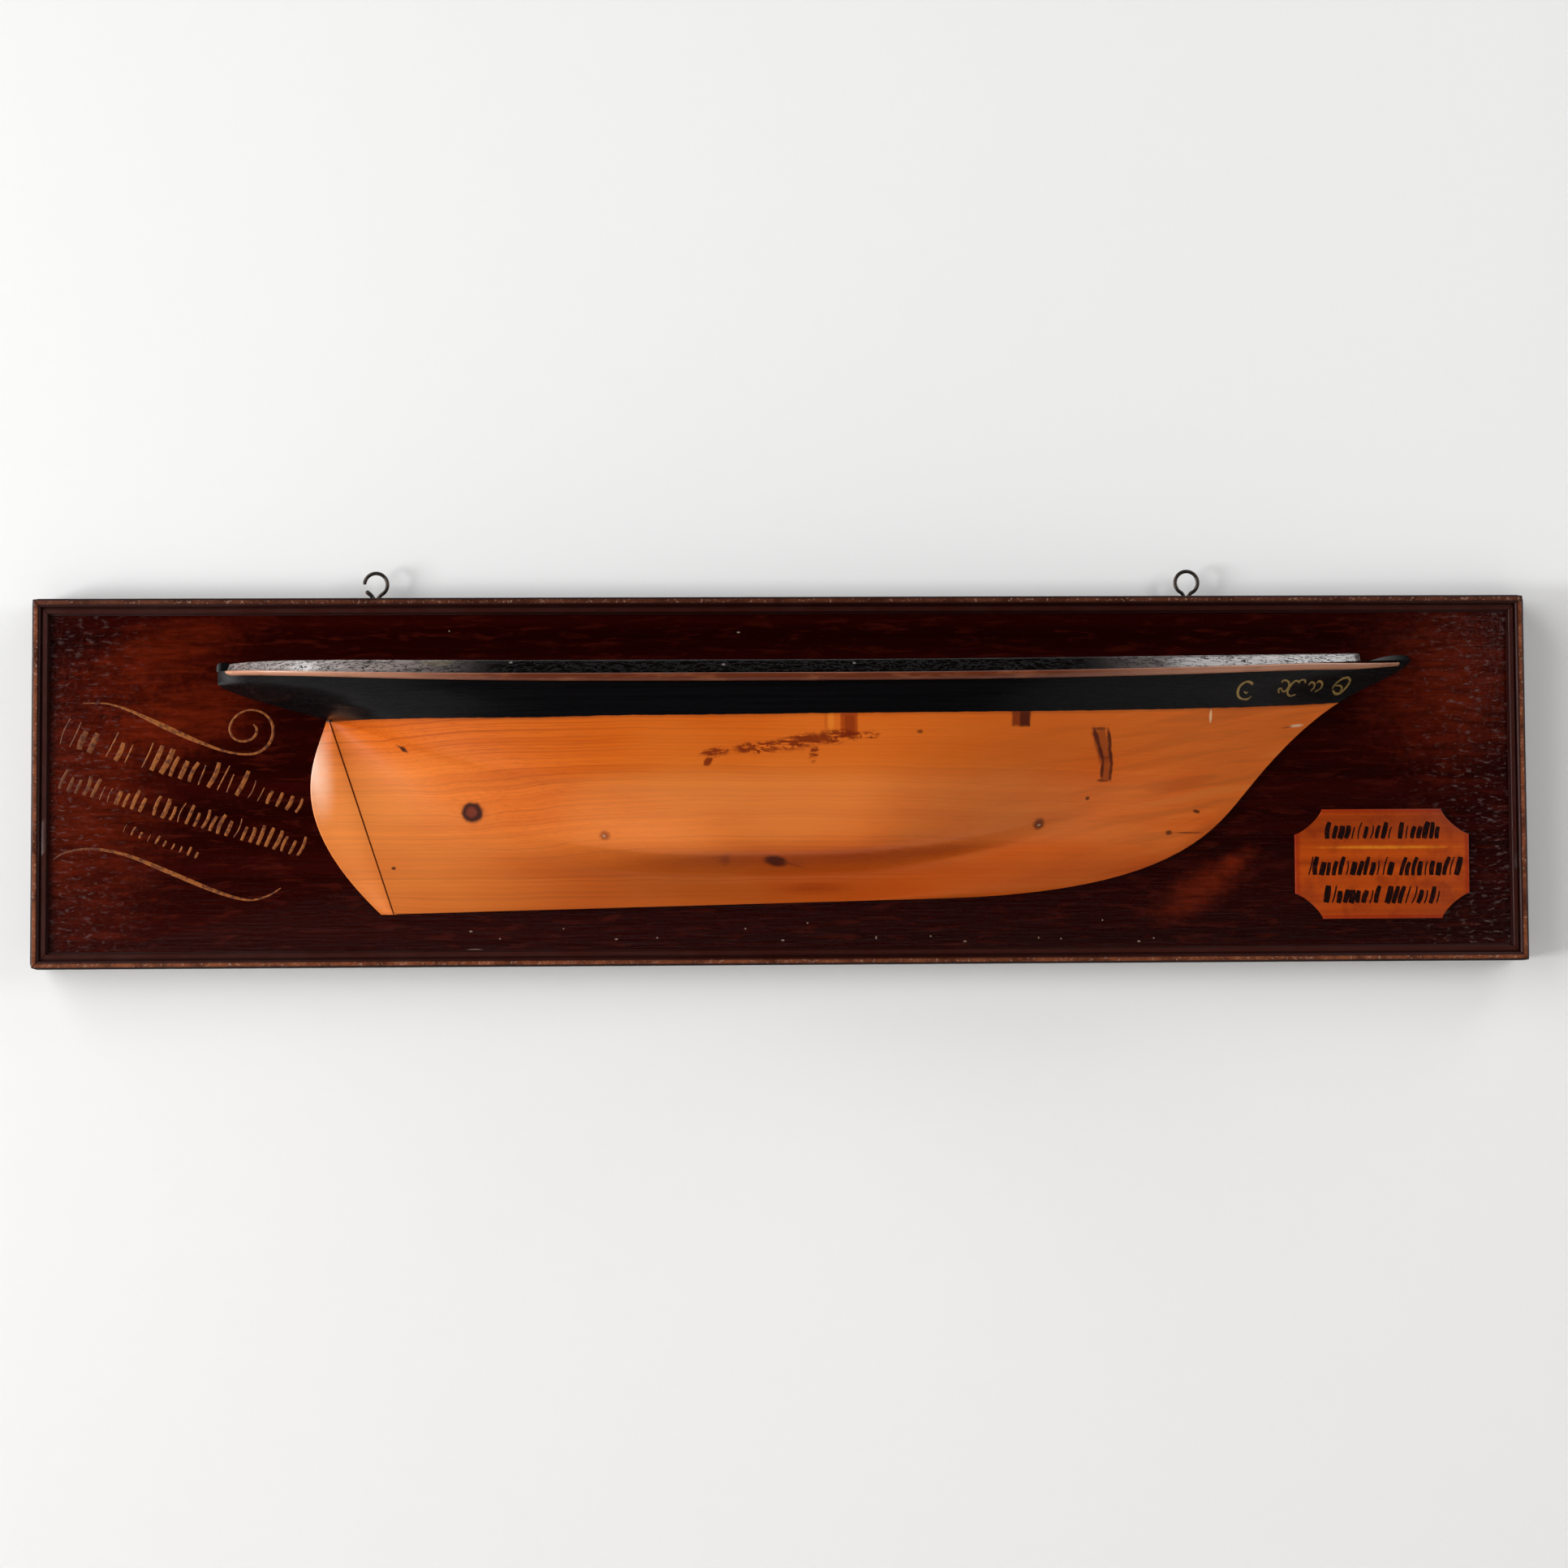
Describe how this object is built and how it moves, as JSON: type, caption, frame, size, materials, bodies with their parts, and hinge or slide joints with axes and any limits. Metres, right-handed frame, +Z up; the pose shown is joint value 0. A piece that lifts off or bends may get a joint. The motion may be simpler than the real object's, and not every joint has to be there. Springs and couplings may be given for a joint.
{
  "type": "ship half hull model",
  "caption": "Carved wooden half hull of a sailing ship with a raked stem and rudder, fixed to a long backboard with a moulded edge, a scooped tablet and screw eyes to hang it by.",
  "frame": {"origin": "middle of the backboard's back face, which lies against the wall", "axes": "+X towards the bow, along the board; +Y into the wall; +Z up"},
  "size_m": [1.395, 0.1281, 0.37],
  "materials": {
    "board_varnish": "gloss",
    "moulding_wood": "satin",
    "hull_varnish": "satin",
    "bare_wood": "satin",
    "black_paint": "gloss",
    "tablet_paint": "satin",
    "dark_steel": "satin",
    "pin_metal": "satin"
  },
  "bodies": {
    "root": {"backboard": "board_varnish", "edge_moulding_top": "moulding_wood", "edge_moulding_bottom": "moulding_wood", "edge_moulding_aft": "moulding_wood", "edge_moulding_fore": "moulding_wood", "half_hull": "hull_varnish", "sheer_moulding": "bare_wood", "top_lift": "black_paint", "tablet": "tablet_paint", "screw_eye_aft": "dark_steel", "screw_eye_fore": "dark_steel", "hull_pin_aft": "pin_metal", "hull_pin_fore": "pin_metal"}
  },
  "joints": []
}
